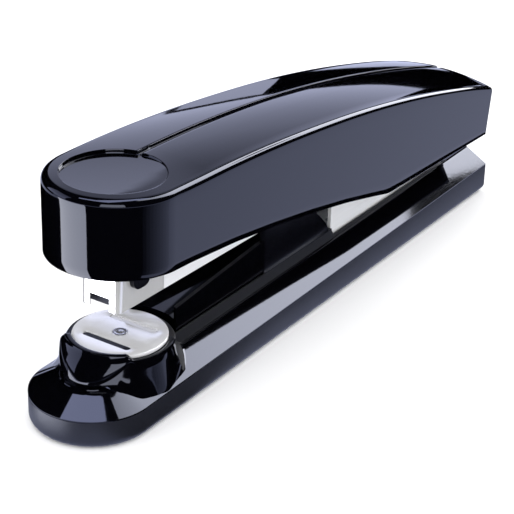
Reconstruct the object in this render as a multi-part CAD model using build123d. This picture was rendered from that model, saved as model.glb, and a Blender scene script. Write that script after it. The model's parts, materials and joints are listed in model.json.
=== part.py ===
from build123d import *
import math
import os

# Full-strip desk stapler. X runs along the stapler (nose at -X, hinge at +X), Z is up.
# Origin: centre of the footprint, on the table. Stations are distances behind the base's front tip.

# ---- overall sizes ----
BASE_LENGTH = 225.0
BASE_WIDTH = 37.5
BASE_REAR_WIDTH = 36.2
COVER_WIDTH = 41.0
COVER_REAR_WIDTH = 39.2
COVER_FRONT_STATION = 9.3
COVER_REAR_STATION = 219.4
COVER_TOP_HEIGHT = 73.4

# ---- clearances ----
RUN_FIT = 0.05
SIDE_GAP = 0.45
SEAT_GAP = 0.2

# ---- magazine widths, from which the guides around it are worked out ----
MAGAZINE_HALF = 6.85
MAGAZINE_SHEET = 0.5
GUIDE_HALF = MAGAZINE_HALF + SIDE_GAP
CHANNEL_HALF = GUIDE_HALF + 1.5
STRIP_HALF = MAGAZINE_HALF - MAGAZINE_SHEET - 0.1

# ---- boot tray and deck ----
PART_LINE_FRONT = 8.6
PART_LINE_REAR = 10.1
TRAY_WALL = 2.4
TRAY_FLOOR = 1.8
TRAY_UNDERCUT = 2.6
DECK_RISE = 4.9
DECK_SLOPE_DEG = 57.0
DECK_WALL = 2.2
RIM_HEIGHT = 15.0
CHANNEL_WALL = 0.8
CHANNEL_FLOOR_TOP = 11.9
CHANNEL_FLOOR = 1.4
CHANNEL_FRONT_STATION = 43.0
CHANNEL_REAR_STATION = 215.0

# ---- anvil pod ----
ANVIL_STATION = 31.2
ANVIL_RADIUS = 14.0
ANVIL_THICKNESS = 1.2
ANVIL_TOP = 21.7
ANVIL_GROOVE_OFFSET = 6.3
ANVIL_GROOVE_HALF = 8.4
ANVIL_GROOVE_WIDTH = 2.2
ANVIL_FRONT_GROOVE_DEPTH = 0.9
ANVIL_REAR_GROOVE_DEPTH = 0.4
ANVIL_EDGE_ROUND = 0.4
ANVIL_SIDE_GAP = 0.3
POD_RIM = 1.3
POD_FOOT_RADIUS = 17.4
POD_FOOT_HEIGHT = 9.5
VISOR_RISE = 0.9
VISOR_WALL = 1.8
VISOR_SPREAD = 5.0
VISOR_LOW = 13.5
VISOR_TILT_DEG = 30.0
POD_FLOOR = 2.6
POD_BORE_LEDGE = 2.0
RIVET_RADIUS = 1.5
RIVET_HEAD_RADIUS = 2.3
RIVET_HEAD_DEPTH = 0.5
RIVET_HEAD_PROUD = 0.1
WASHER_RADIUS = 5.0
WASHER_THICKNESS = 0.8
TAIL_THICKNESS = 1.0

# ---- hinge ----
PIVOT_STATION = 204.75
PIVOT_HEIGHT = 40.0
PIN_RADIUS = 2.5
EAR_RADIUS = 4.5
MAGAZINE_EAR_RADIUS = 4.2
PIN_HEAD_RADIUS = 4.0
PIN_HEAD = 1.2
CLIP_THICKNESS = 0.8
CLIP_MOUTH_HALF = 2.0
CLIP_MOUTH_TOP = 2.2

# ---- magazine, drawn level and then tipped about the pivot ----
MAGAZINE_TILT_DEG = 1.6
MAGAZINE_BOTTOM = 28.3
MAGAZINE_TOP = 41.5
MAGAZINE_FRONT_STATION = 22.1
GUARD_LENGTH = 21.0
GUARD_TOP = 46.0
GUARD_CORNER = 1.8
GUARD_LAP_GAP = 0.3
NOTCH_WIDTH = 7.0
NOTCH_HEIGHT = 4.0
BLADE_SLOT = 2.0
STRIP_WIRE = 0.5
STRIP_LEG = 6.4
STRIP_LENGTH = 52.5
STRIP_FLOOR_GAP = 0.6
STRIP_FRONT_GAP = 0.05
RAIL_SHEET = 1.0
RAIL_TIP = 2.0
RAIL_GAP = 0.12
RAIL_REAR_STATION = 186.0
PUSHER_LENGTH = 9.0
PUSHER_HEIGHT = 11.3
PUSHER_GAP = 0.25
ROD_RADIUS = 1.2
ROD_HEIGHT = 38.9
ANCHOR_STATION = 180.0
ANCHOR_LENGTH = 6.0
SADDLE_STATION = 27.0
SADDLE_LENGTH = 8.0
SADDLE_SIDE = 1.5
SADDLE_BOTTOM = 34.0
SADDLE_WEB = 1.7
SADDLE_ROUND = 3.0
SADDLE_ROD_BITE = 3.0
SADDLE_LUG_LIFT = 0.6
PUSHER_COIL = 2.6
PUSHER_COIL_WIRE = 0.7
PUSHER_COIL_PITCH = 5.0
COIL_END_GAP = 0.2

# ---- trough, spring housing, bracket ----
TROUGH_WALL = 1.3
TROUGH_FLOOR_TOP = 21.2
TROUGH_FRONT_HEIGHT = 25.0
TROUGH_REAR_HEIGHT = 29.0
TROUGH_REAR_STATION = 92.0
TROUGH_CORE_MARGIN = 3.0
TROUGH_CORE_FLOOR = 2.0
TROUGH_CORE_WALL = 1.0
HOUSING_FRONT_STATION = 92.3
HOUSING_REAR_STATION = 131.5
HOUSING_WALL = 1.7
HOUSING_TOP = 36.0
HOUSING_LIP = CHANNEL_HALF + 0.7
HOUSING_LIP_TOP = 18.2
HOUSING_REAR_STEP = 3.0
HOUSING_REAR_SLOPE = 9.0
HOUSING_REAR_CROWN = 11.0
LIP_SEAT_GAP = 0.1
LIFT_SPRING_STATION = 115.0
LIFT_SPRING_RADIUS = 4.2
LIFT_SPRING_WIRE = 1.1
LIFT_SPRING_PITCH = 3.4
LIFT_SPRING_SEAT = 13.5
LIFT_SPRING_GAP = 0.4
BRACKET_FRONT_STATION = 132.3
BRACKET_SHEET = 1.2
BRACKET_FRONT_HEIGHT = 29.0
BRACKET_REAR_MARGIN = 3.0
BRACKET_SHOULDER = 30.0
BRACKET_SHOULDER_RISE = 6.0

# ---- cover ----
COVER_WALL = 2.2
COVER_ARCH_RADIUS = 650.0
COVER_APEX_STATION = 28.75
COVER_EDGE_ROUND = 2.5
COVER_CROWN_FRONT = 0.6
COVER_CROWN_REAR = 2.2
CROWN_START = 20.0
CROWN_FULL = 115.0
STEP_START = 10.0
STEP_FULL = 48.0
ROOF_STATIONS = (4, 20, 36, 52, 80, 115, 150, 190, 228)
ROOF_OVERHANG = 6.0
LOWER_EDGE = ((-10, 49.5), (38, 47.5), (80, 42.0), (123, 33.7), (150, 26.9))
LOWER_REAR_HEIGHT = 24.4
LEAN_SPAN = 20.0
BAND_EDGE_Y = 3.0
BAND_STEP = 1.3
THUMB_STATION = 29.0
THUMB_RADIUS = 15.0
THUMB_DEPTH = 0.9
REAR_WALL_LEAN = 3.0
FRAME_HALF = GUIDE_HALF + BRACKET_SHEET + 0.9
FRAME_SHEET = 1.2
FRAME_FRONT_STATION = 24.0
FRAME_FRONT_TOP = 66.0
FRAME_WEB_REAR_STATION = 190.0
FRAME_ROOF_GAP = 0.15
FRAME_DEPTH = 9.0
FRAME_EAR_REACH = 2.0
HOLDER_STATION = 21.2
HOLDER_LENGTH = 6.0
HOLDER_BOTTOM = 61.4
BLADE_THICKNESS = 0.5
BLADE_HALF = STRIP_HALF - 0.35
BLADE_BOTTOM = 38.5
BLADE_SETBACK = 1.5
BLADE_GRIP = 2.2
COVER_SCREW_STATIONS = (50.0, 160.0)
COVER_SCREW_RADIUS = 1.5
COVER_SCREW_HEAD = 2.8
COVER_SCREW_HEAD_DEPTH = 1.4
COVER_SCREW_REACH = 5.0
COVER_SCREW_SEAT_GAP = 0.3
BOSS_SEAT_GAP = 0.5
BOSS_ROOF_SKIN = 1.0
HANDLE_SPRING_STATION = 107.0
HANDLE_SPRING_RADIUS = 4.0
HANDLE_SPRING_WIRE = 1.2
HANDLE_SPRING_PITCH = 3.6
SEAT_HEIGHT = 43.3
SEAT_LIP = 0.4
SEAT_HALF_LENGTH = 7.0
SEAT_PEG_HEIGHT = 2.5
HANDLE_SPRING_GAP = 0.3

# ---- deck screws ----
DECK_SCREW_STATIONS = (50.0, 100.0, 146.0, 198.0)
DECK_SCREW_RADIUS = 1.5
DECK_SCREW_HEAD = 2.8
DECK_SCREW_HEAD_DEPTH = 1.8
DECK_SCREW_RECESS = 0.6
DECK_SCREW_BITE = 1.6
SCREW_SLOT_HALF = 0.4
SCREW_SLOT_DEPTH = 0.8
BOSS_RADIUS = 4.0

FAR = 120.0
NOSE_RADIUS = BASE_WIDTH / 2
COVER_NOSE_RADIUS = COVER_WIDTH / 2


def at(station):
    """X of a station, counted backwards from the base's front tip."""
    return station - BASE_LENGTH / 2


PIVOT = Axis((at(PIVOT_STATION), 0, PIVOT_HEIGHT), (0, 1, 0))


def box(s0, s1, half, z0, z1):
    """Block across the centre line between two stations."""
    return Pos(at((s0 + s1) / 2), 0, (z0 + z1) / 2) * Box(s1 - s0, 2 * half, z1 - z0)


def block(s0, s1, y0, y1, z0, z1):
    return Pos(at((s0 + s1) / 2), (y0 + y1) / 2, (z0 + z1) / 2) * Box(s1 - s0, y1 - y0, z1 - z0)


def post(station, radius, z0, z1, y=0.0):
    """Upright cylinder at a station."""
    return Pos(at(station), y, (z0 + z1) / 2) * Cylinder(radius, z1 - z0)


def cross_bar(station, height, radius, half):
    """Cylinder along Y."""
    return Pos(at(station), 0, height) * Rot(90, 0, 0) * Cylinder(radius, 2 * half)


def long_bar(s0, s1, height, radius):
    """Cylinder along X."""
    return Pos(at((s0 + s1) / 2), 0, height) * Rot(0, 90, 0) * Cylinder(radius, s1 - s0)


def side_plate(points, y0, y1):
    """Plate whose outline is drawn in side view as (station, height) pairs."""
    outline = make_face(Polyline([(at(s), z) for s, z in points], close=True))
    sketch = Plane.XZ * outline
    return Pos(0, y1, 0) * extrude(sketch, y1 - y0)


def both_sides(points, y0, y1):
    return side_plate(points, y0, y1) + side_plate(points, -y1, -y0)


def nose_outline(front, radius, rear, rear_half, inset=0.0):
    """Plan outline: half-round nose, straight sides, square rear."""
    centre = front + radius
    r = radius - inset
    half = rear_half - inset
    arc = ThreePointArc((centre, r), (centre - r, 0), (centre, -r))
    sides = Polyline((centre, -r), (rear - inset, -half), (rear - inset, half), (centre, r))
    return make_face(arc + sides)


def coil(radius, wire, pitch, length):
    """Open coil spring along +Z, its two end turns left plain."""
    path = Helix(pitch, length - 2 * wire, radius)
    section = Plane(origin=path @ 0, z_dir=path % 0) * Circle(wire)
    return Pos(0, 0, wire) * sweep(section, path)


def tip(part):
    """Turn a magazine piece from level to its resting tilt about the pivot."""
    return part.rotate(PIVOT, MAGAZINE_TILT_DEG)


def one(part):
    """The single solid of a shape made by several operations."""
    solids = part.solids()
    return max(solids, key=lambda s: s.volume)


# ================= base =================

def part_line_plane():
    lean = math.atan((PART_LINE_REAR - PART_LINE_FRONT) / BASE_LENGTH)
    return Plane(origin=(at(0), 0, PART_LINE_FRONT), x_dir=(math.cos(lean), 0, math.sin(lean)),
                 z_dir=(-math.sin(lean), 0, math.cos(lean)))


def base_outline(inset=0.0):
    return nose_outline(0, NOSE_RADIUS, BASE_LENGTH, BASE_REAR_WIDTH / 2, inset)


def below_part_line():
    return side_plate([(0, -FAR), (BASE_LENGTH, -FAR), (BASE_LENGTH, PART_LINE_REAR), (0, PART_LINE_FRONT)],
                      -FAR, FAR)


def make_tray():
    block_out = Pos(at(0), 0, 0) * extrude(base_outline(), RIM_HEIGHT)
    bottom = block_out.faces().sort_by(Axis.Z)[0]
    block_out = fillet(bottom.edges(), TRAY_UNDERCUT)
    tray = block_out & below_part_line()
    tray -= Pos(at(0), 0, TRAY_FLOOR) * extrude(base_outline(TRAY_WALL), RIM_HEIGHT)
    for station in DECK_SCREW_STATIONS:
        tray += post(station, BOSS_RADIUS, TRAY_FLOOR, channel_underside())
        tray -= post(station, DECK_SCREW_RADIUS + RUN_FIT, 0, RIM_HEIGHT)
        tray -= post(station, DECK_SCREW_HEAD + RUN_FIT, 0, screw_shoulder())
    return one(tray)


def channel_underside():
    return CHANNEL_FLOOR_TOP - CHANNEL_FLOOR


def screw_shoulder():
    return DECK_SCREW_RECESS + DECK_SCREW_HEAD_DEPTH


def deck_body(inset, rise):
    """Sloped body standing on the part line."""
    return extrude(part_line_plane() * base_outline(inset), rise, taper=DECK_SLOPE_DEG)


def pod_body():
    top = ANVIL_TOP - ANVIL_THICKNESS - SEAT_GAP
    height = top - POD_FOOT_HEIGHT
    return Pos(at(ANVIL_STATION), 0, POD_FOOT_HEIGHT + height / 2) * Cone(
        POD_FOOT_RADIUS, ANVIL_RADIUS + POD_RIM, height)


def visor_body():
    """Raised collar round the front of the pod, its lower edge in a tilted plane."""
    outer = ANVIL_RADIUS + RUN_FIT + VISOR_WALL
    top = ANVIL_TOP + VISOR_RISE
    height = top - POD_FOOT_HEIGHT
    collar = Pos(at(ANVIL_STATION), 0, POD_FOOT_HEIGHT + height / 2) * Cone(
        outer + VISOR_SPREAD, outer, height)
    front = at(ANVIL_STATION) - outer - VISOR_SPREAD
    keep = Pos(front, 0, VISOR_LOW) * Rot(0, -VISOR_TILT_DEG, 0) * Pos(0, 0, FAR / 2) * Box(FAR, FAR, FAR)
    return collar & keep


def make_deck():
    deck = deck_body(0, DECK_RISE)
    deck -= deck_body(DECK_WALL, DECK_RISE - DECK_WALL)
    walls = box(CHANNEL_FRONT_STATION - 2, CHANNEL_REAR_STATION, CHANNEL_HALF + CHANNEL_WALL,
                channel_underside(), RIM_HEIGHT)
    deck += walls
    deck += pod_body() + visor_body()
    deck -= box(CHANNEL_FRONT_STATION, CHANNEL_REAR_STATION + 1, CHANNEL_HALF, CHANNEL_FLOOR_TOP, FAR)
    seat = ANVIL_TOP - ANVIL_THICKNESS - SEAT_GAP
    deck -= post(ANVIL_STATION, ANVIL_RADIUS + ANVIL_SIDE_GAP, seat, FAR)
    deck -= post(ANVIL_STATION, ANVIL_RADIUS - POD_BORE_LEDGE, 0, seat - POD_FLOOR)
    deck -= post(ANVIL_STATION, RIVET_RADIUS + RUN_FIT, 0, FAR)
    for station in DECK_SCREW_STATIONS:
        deck -= post(station, DECK_SCREW_RADIUS + RUN_FIT, 0, RIM_HEIGHT)
        deck -= post(station, BOSS_RADIUS + RUN_FIT, 0, channel_underside())
    deck -= below_part_line()
    return one(deck)


def make_anvil():
    centre = at(ANVIL_STATION)
    low = ANVIL_TOP - ANVIL_THICKNESS
    disc = post(ANVIL_STATION, ANVIL_RADIUS, low, ANVIL_TOP)
    disc = fillet(disc.edges().group_by(Axis.Z)[-1], ANVIL_EDGE_ROUND)
    groove = SlotOverall(2 * ANVIL_GROOVE_HALF, ANVIL_GROOVE_WIDTH)
    clinch = Rot(0, 0, 90) * groove
    disc -= Pos(centre - ANVIL_GROOVE_OFFSET, 0, ANVIL_TOP - ANVIL_FRONT_GROOVE_DEPTH) * extrude(clinch, 1)
    disc -= Pos(centre + ANVIL_GROOVE_OFFSET, 0, ANVIL_TOP - ANVIL_REAR_GROOVE_DEPTH) * extrude(clinch, 1)
    disc -= post(ANVIL_STATION, RIVET_RADIUS + RUN_FIT, 0, FAR)
    disc -= post(ANVIL_STATION, RIVET_HEAD_RADIUS + RUN_FIT, ANVIL_TOP - RIVET_HEAD_DEPTH, FAR)
    return one(disc)


def rivet_tail_top():
    floor_under = ANVIL_TOP - ANVIL_THICKNESS - SEAT_GAP - POD_FLOOR
    return floor_under - WASHER_THICKNESS


def make_rivet():
    rivet = post(ANVIL_STATION, RIVET_RADIUS, rivet_tail_top() - TAIL_THICKNESS, ANVIL_TOP)
    rivet += post(ANVIL_STATION, RIVET_HEAD_RADIUS, ANVIL_TOP - RIVET_HEAD_DEPTH + RUN_FIT / 2, ANVIL_TOP + RIVET_HEAD_PROUD)
    rivet += post(ANVIL_STATION, RIVET_HEAD_RADIUS, rivet_tail_top() - TAIL_THICKNESS, rivet_tail_top())
    return one(rivet)


def make_washer():
    low = rivet_tail_top()
    ring = post(ANVIL_STATION, WASHER_RADIUS, low, low + WASHER_THICKNESS)
    return ring - post(ANVIL_STATION, RIVET_RADIUS + RUN_FIT, 0, FAR)


def make_screws():
    """Screws up through the boot and the deck into the piece that stands in the channel."""
    screws = []
    for station in DECK_SCREW_STATIONS:
        head = post(station, DECK_SCREW_HEAD, DECK_SCREW_RECESS, screw_shoulder())
        head -= box(station - BOSS_RADIUS, station + BOSS_RADIUS, SCREW_SLOT_HALF, 0,
                    DECK_SCREW_RECESS + SCREW_SLOT_DEPTH)
        shank = post(station, DECK_SCREW_RADIUS, screw_shoulder(), screw_tip(station))
        screws.append(one(head + shank))
    return Compound(children=screws)


def screw_tip(station):
    if station > BRACKET_FRONT_STATION:
        return CHANNEL_FLOOR_TOP + BRACKET_SHEET
    return CHANNEL_FLOOR_TOP + DECK_SCREW_BITE


def make_trough():
    """Front guide: two walls and a floor that the magazine sinks between."""
    outer = GUIDE_HALF + TROUGH_WALL
    front = CHANNEL_FRONT_STATION
    body = box(front, TROUGH_REAR_STATION, outer, CHANNEL_FLOOR_TOP, TROUGH_FLOOR_TOP)
    body -= box(front + TROUGH_CORE_MARGIN, TROUGH_REAR_STATION - TROUGH_CORE_MARGIN,
                GUIDE_HALF - TROUGH_CORE_WALL, CHANNEL_FLOOR_TOP + TROUGH_CORE_MARGIN,
                TROUGH_FLOOR_TOP - TROUGH_CORE_FLOOR)
    walls = [(front, TROUGH_FLOOR_TOP - 1), (TROUGH_REAR_STATION, TROUGH_FLOOR_TOP - 1),
             (TROUGH_REAR_STATION, TROUGH_REAR_HEIGHT), (front, TROUGH_FRONT_HEIGHT)]
    body += both_sides(walls, GUIDE_HALF, outer)
    round_pod = post(ANVIL_STATION, POD_FOOT_RADIUS + SEAT_GAP, 0, FAR)
    body -= round_pod
    return drill_screws(body)


def drill_screws(body):
    for station in DECK_SCREW_STATIONS:
        body -= post(station, DECK_SCREW_RADIUS + RUN_FIT, 0, screw_tip(station) + SEAT_GAP)
    return one(body)


def make_housing():
    """Saddle that hugs the magazine and holds the lift spring."""
    front = HOUSING_FRONT_STATION
    rear = HOUSING_REAR_STATION
    outer = GUIDE_HALF + HOUSING_WALL
    lip_low = RIM_HEIGHT + LIP_SEAT_GAP
    body = box(front, rear, CHANNEL_HALF, CHANNEL_FLOOR_TOP, lip_low)
    body += box(front, rear, HOUSING_LIP, lip_low, HOUSING_LIP_TOP)
    body += box(front, rear - HOUSING_REAR_STEP, outer, HOUSING_LIP_TOP, TROUGH_FLOOR_TOP)
    cheek = [(front, TROUGH_FLOOR_TOP - 1), (rear, HOUSING_LIP_TOP - 2),
             (rear - HOUSING_REAR_STEP, TROUGH_FLOOR_TOP),
             (rear - HOUSING_REAR_SLOPE, HOUSING_TOP - HOUSING_REAR_SLOPE),
             (rear - HOUSING_REAR_CROWN, HOUSING_TOP), (front, HOUSING_TOP)]
    body += both_sides(cheek, GUIDE_HALF, outer)
    body -= box(front, rear + 1, GUIDE_HALF, TROUGH_FLOOR_TOP, FAR)
    body -= post(LIFT_SPRING_STATION, LIFT_SPRING_RADIUS + LIFT_SPRING_WIRE + LIFT_SPRING_GAP, LIFT_SPRING_SEAT, FAR)
    return drill_screws(body)


def bracket_side():
    rear = PIVOT_STATION + BRACKET_REAR_MARGIN
    return [(BRACKET_FRONT_STATION, CHANNEL_FLOOR_TOP), (rear, CHANNEL_FLOOR_TOP), (rear, PIVOT_HEIGHT),
            (PIVOT_STATION, PIVOT_HEIGHT + BRACKET_REAR_MARGIN), (PIVOT_STATION - EAR_RADIUS, PIVOT_HEIGHT),
            (PIVOT_STATION - BRACKET_SHOULDER, BRACKET_FRONT_HEIGHT + BRACKET_SHOULDER_RISE),
            (BRACKET_FRONT_STATION, BRACKET_FRONT_HEIGHT)]


def make_bracket():
    """Steel hinge bracket, a folded U that carries the pivot pin."""
    outer = GUIDE_HALF + BRACKET_SHEET
    body = box(BRACKET_FRONT_STATION, CHANNEL_REAR_STATION - SEAT_GAP, outer, CHANNEL_FLOOR_TOP,
               CHANNEL_FLOOR_TOP + BRACKET_SHEET)
    body += both_sides(bracket_side(), GUIDE_HALF, outer)
    ears = cross_bar(PIVOT_STATION, PIVOT_HEIGHT, EAR_RADIUS, outer)
    body += ears - cross_bar(PIVOT_STATION, PIVOT_HEIGHT, EAR_RADIUS + 1, GUIDE_HALF)
    body -= cross_bar(PIVOT_STATION, PIVOT_HEIGHT, PIN_RADIUS + RUN_FIT, FAR)
    return drill_screws(body)


def pin_half():
    return FRAME_HALF + FRAME_SHEET + SIDE_GAP


def make_pin():
    pin = cross_bar(PIVOT_STATION, PIVOT_HEIGHT, PIN_RADIUS, pin_half() + PIN_HEAD)
    head = cross_bar(PIVOT_STATION, PIVOT_HEIGHT, PIN_HEAD_RADIUS, PIN_HEAD / 2)
    pin += Pos(0, pin_half() + PIN_HEAD / 2, 0) * head
    return one(pin)


def make_pin_clip():
    clip = cross_bar(PIVOT_STATION, PIVOT_HEIGHT, PIN_HEAD_RADIUS, CLIP_THICKNESS / 2)
    clip -= cross_bar(PIVOT_STATION, PIVOT_HEIGHT, PIN_RADIUS + RUN_FIT, CLIP_THICKNESS)
    clip -= block(PIVOT_STATION - CLIP_MOUTH_HALF, PIVOT_STATION + CLIP_MOUTH_HALF, -CLIP_THICKNESS,
                  CLIP_THICKNESS, 0, PIVOT_HEIGHT - CLIP_MOUTH_TOP)
    return one(Pos(0, -pin_half() - CLIP_THICKNESS / 2 - RUN_FIT, 0) * clip)


def make_lift_spring():
    top = MAGAZINE_BOTTOM + tip_lift(LIFT_SPRING_STATION)
    length = top - LIFT_SPRING_GAP - LIFT_SPRING_SEAT
    spring = coil(LIFT_SPRING_RADIUS, LIFT_SPRING_WIRE / 2, LIFT_SPRING_PITCH, length)
    return one(Pos(at(LIFT_SPRING_STATION), 0, LIFT_SPRING_SEAT + SEAT_GAP / 2) * spring)


# ================= magazine =================

def guard_rear():
    return MAGAZINE_FRONT_STATION + GUARD_LENGTH


def blade_slot_rear():
    return MAGAZINE_FRONT_STATION + MAGAZINE_SHEET + BLADE_SLOT


def make_guard():
    """Bright nose guard: front plate and two sides with rounded corners, notched below."""
    outer = box(MAGAZINE_FRONT_STATION, guard_rear(), MAGAZINE_HALF, MAGAZINE_BOTTOM, GUARD_TOP)
    corners = [e for e in outer.edges().filter_by(Axis.Z) if e.center().X < at(MAGAZINE_FRONT_STATION + 1)]
    outer = fillet(corners, GUARD_CORNER)
    inner = box(MAGAZINE_FRONT_STATION + MAGAZINE_SHEET, guard_rear() + 5, MAGAZINE_HALF - MAGAZINE_SHEET,
                MAGAZINE_BOTTOM - 1, GUARD_TOP + 1)
    corners = [e for e in inner.edges().filter_by(Axis.Z) if e.center().X < at(MAGAZINE_FRONT_STATION + 2)]
    inner = fillet(corners, GUARD_CORNER - MAGAZINE_SHEET)
    guard = outer - inner
    guard -= box(MAGAZINE_FRONT_STATION - 1, MAGAZINE_FRONT_STATION + 1, NOTCH_WIDTH / 2,
                 MAGAZINE_BOTTOM - 1, MAGAZINE_BOTTOM + NOTCH_HEIGHT)
    return tip(one(guard))


def make_channel():
    """Folded steel channel behind the guard, with ears on the hinge pin."""
    front = guard_rear() + GUARD_LAP_GAP
    rear = PIVOT_STATION + EAR_RADIUS
    channel = box(front, rear, MAGAZINE_HALF, MAGAZINE_BOTTOM, MAGAZINE_TOP)
    channel += cross_bar(PIVOT_STATION, PIVOT_HEIGHT, MAGAZINE_EAR_RADIUS, MAGAZINE_HALF)
    channel -= box(front - 1, rear + 5, MAGAZINE_HALF - MAGAZINE_SHEET, MAGAZINE_BOTTOM + MAGAZINE_SHEET, FAR)
    channel -= cross_bar(PIVOT_STATION, PIVOT_HEIGHT, PIN_RADIUS + RUN_FIT, FAR)
    return tip(one(channel))


def rail_half():
    return STRIP_HALF - STRIP_WIRE - RAIL_GAP


def rail_top():
    return strip_top() - STRIP_WIRE - RAIL_GAP


def strip_bottom():
    return MAGAZINE_BOTTOM + MAGAZINE_SHEET + STRIP_FLOOR_GAP


def strip_top():
    return strip_bottom() + STRIP_LEG


def make_rail():
    """Inner rail that the staples straddle; its front stops behind the blade's slot."""
    low = MAGAZINE_BOTTOM + MAGAZINE_SHEET
    rail = box(blade_slot_rear(), RAIL_REAR_STATION, rail_half(), low, rail_top())
    rail -= box(blade_slot_rear() + RAIL_TIP, RAIL_REAR_STATION + 1, rail_half() - RAIL_SHEET, low - 1,
                rail_top() - RAIL_SHEET)
    return tip(one(rail))


def straddle(s0, s1, top, leg_inner, z_low):
    """Inverted U that rides over the rail."""
    body = box(s0, s1, STRIP_HALF, z_low, top)
    return body - box(s0 - 1, s1 + 1, leg_inner, z_low - 1, strip_top() - STRIP_WIRE)


def make_strip():
    front = blade_slot_rear() + STRIP_FRONT_GAP
    return tip(one(straddle(front, front + STRIP_LENGTH, strip_top(), STRIP_HALF - STRIP_WIRE, strip_bottom())))


def pusher_front():
    return blade_slot_rear() + STRIP_LENGTH + PUSHER_GAP


def make_pusher():
    front = pusher_front()
    body = straddle(front, front + PUSHER_LENGTH, strip_bottom() + PUSHER_HEIGHT,
                    STRIP_HALF - STRIP_WIRE, strip_bottom())
    body -= box(front - 1, front + PUSHER_LENGTH + 1, rail_half() + RAIL_GAP, 0, rail_top() + RAIL_GAP)
    body -= long_bar(front - 1, front + PUSHER_LENGTH + 1, ROD_HEIGHT, ROD_RADIUS + RUN_FIT)
    return tip(one(body))


def make_rod():
    return tip(long_bar(SADDLE_STATION + SADDLE_ROD_BITE, ANCHOR_STATION + ANCHOR_LENGTH, ROD_HEIGHT, ROD_RADIUS))


def make_anchor():
    """Block at the magazine's rear that holds the pusher rod and the coil's end."""
    inner = MAGAZINE_HALF - MAGAZINE_SHEET
    body = box(ANCHOR_STATION, ANCHOR_STATION + ANCHOR_LENGTH, inner, rail_top(), MAGAZINE_TOP)
    return tip(one(body - long_bar(0, BASE_LENGTH, ROD_HEIGHT, ROD_RADIUS + RUN_FIT)))


def make_saddle():
    """Black saddle over the guard: two cheeks outside it and a lug that holds the rod inside."""
    s0 = SADDLE_STATION
    s1 = SADDLE_STATION + SADDLE_LENGTH
    top = GUARD_TOP + SADDLE_WEB
    body = box(s0, s1, MAGAZINE_HALF + SADDLE_SIDE, SADDLE_BOTTOM, top)
    body -= box(s0 - 1, s1 + 1, MAGAZINE_HALF, 0, GUARD_TOP)
    body += box(s0, s1, STRIP_HALF - 1, strip_top() + SADDLE_LUG_LIFT, GUARD_TOP)
    body -= long_bar(s0 + SADDLE_ROD_BITE, s1 + 1, ROD_HEIGHT, ROD_RADIUS + RUN_FIT)
    lower = [e for e in body.edges().filter_by(Axis.Y) if abs(e.center().Y) > MAGAZINE_HALF
             and e.center().Z < SADDLE_BOTTOM + 0.1]
    return tip(one(fillet(lower, SADDLE_ROUND)))


def make_pusher_spring():
    front = pusher_front() + PUSHER_LENGTH
    spring = coil(PUSHER_COIL / 2 + PUSHER_COIL_WIRE / 2, PUSHER_COIL_WIRE / 2, PUSHER_COIL_PITCH,
                  ANCHOR_STATION - front - 2 * COIL_END_GAP)
    return tip(one(Pos(at(front + COIL_END_GAP), 0, ROD_HEIGHT) * Rot(0, 90, 0) * spring))


def make_spring_seat():
    """Cup across the channel's top edges under the handle spring."""
    s0 = HANDLE_SPRING_STATION
    inner = MAGAZINE_HALF
    front = s0 - SEAT_HALF_LENGTH
    rear = s0 + SEAT_HALF_LENGTH
    body = box(front, rear, inner, MAGAZINE_TOP, SEAT_HEIGHT)
    body += box(front, rear, inner - MAGAZINE_SHEET, MAGAZINE_TOP - SEAT_LIP, SEAT_HEIGHT)
    body += post(s0, HANDLE_SPRING_RADIUS - HANDLE_SPRING_WIRE, SEAT_HEIGHT, SEAT_HEIGHT + SEAT_PEG_HEIGHT)
    return tip(one(body))


# ================= cover =================

def smooth(value, low, high):
    t = min(max((value - low) / (high - low), 0), 1)
    return t * t * (3 - 2 * t)


def arch(station):
    """Height of the cover's crest line."""
    return COVER_TOP_HEIGHT - (station - COVER_APEX_STATION) ** 2 / (2 * COVER_ARCH_RADIUS)


def crown_fall(station, y):
    """How far the crowned roof has fallen from its crest at a distance from the centre line."""
    crown = COVER_CROWN_FRONT + (COVER_CROWN_REAR - COVER_CROWN_FRONT) * smooth(station, CROWN_START, CROWN_FULL)
    return crown * (y / COVER_NOSE_RADIUS) ** 2


def crowned_block(drop_front, drop_rear):
    """Block under the crowned, arched top; drop lowers the surface behind the thumb dish."""
    sections = []
    reach = COVER_NOSE_RADIUS + ROOF_OVERHANG
    for station in ROOF_STATIONS:
        drop = drop_front + (drop_rear - drop_front) * smooth(station, STEP_START, STEP_FULL)
        crest = arch(station) - drop
        edge = crest - crown_fall(station, reach)
        across = Plane(origin=(at(station), 0, 0), x_dir=(0, 1, 0), z_dir=(1, 0, 0))
        roof = ThreePointArc((-reach, edge), (0, crest), (reach, edge))
        sides = Polyline((reach, edge), (reach, 5), (-reach, 5), (-reach, edge))
        sections.append(across * make_face(roof + sides))
    return loft(sections)


def rear_wall(height):
    """Station of the leaning rear wall's face at a height."""
    return COVER_REAR_STATION + REAR_WALL_LEAN * (height - LOWER_REAR_HEIGHT) / LEAN_SPAN


def cover_profile():
    """Side view of the cover: gently falling lower edge, leaning rear wall."""
    first = LOWER_EDGE[0]
    last = LOWER_EDGE[-1]
    curve = Spline([(at(s), z) for s, z in LOWER_EDGE])
    rest = Polyline((at(last[0]), last[1]), (at(COVER_REAR_STATION), LOWER_REAR_HEIGHT),
                    (at(rear_wall(FAR)), FAR), (at(first[0]), FAR), (at(first[0]), first[1]))
    return extrude(Plane.XZ * make_face(curve + rest), FAR, both=True)


def cover_plan(inset):
    outline = nose_outline(0, COVER_NOSE_RADIUS, BASE_LENGTH, COVER_REAR_WIDTH / 2, inset)
    return Pos(at(COVER_FRONT_STATION), 0, 0) * extrude(outline, FAR)


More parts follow.
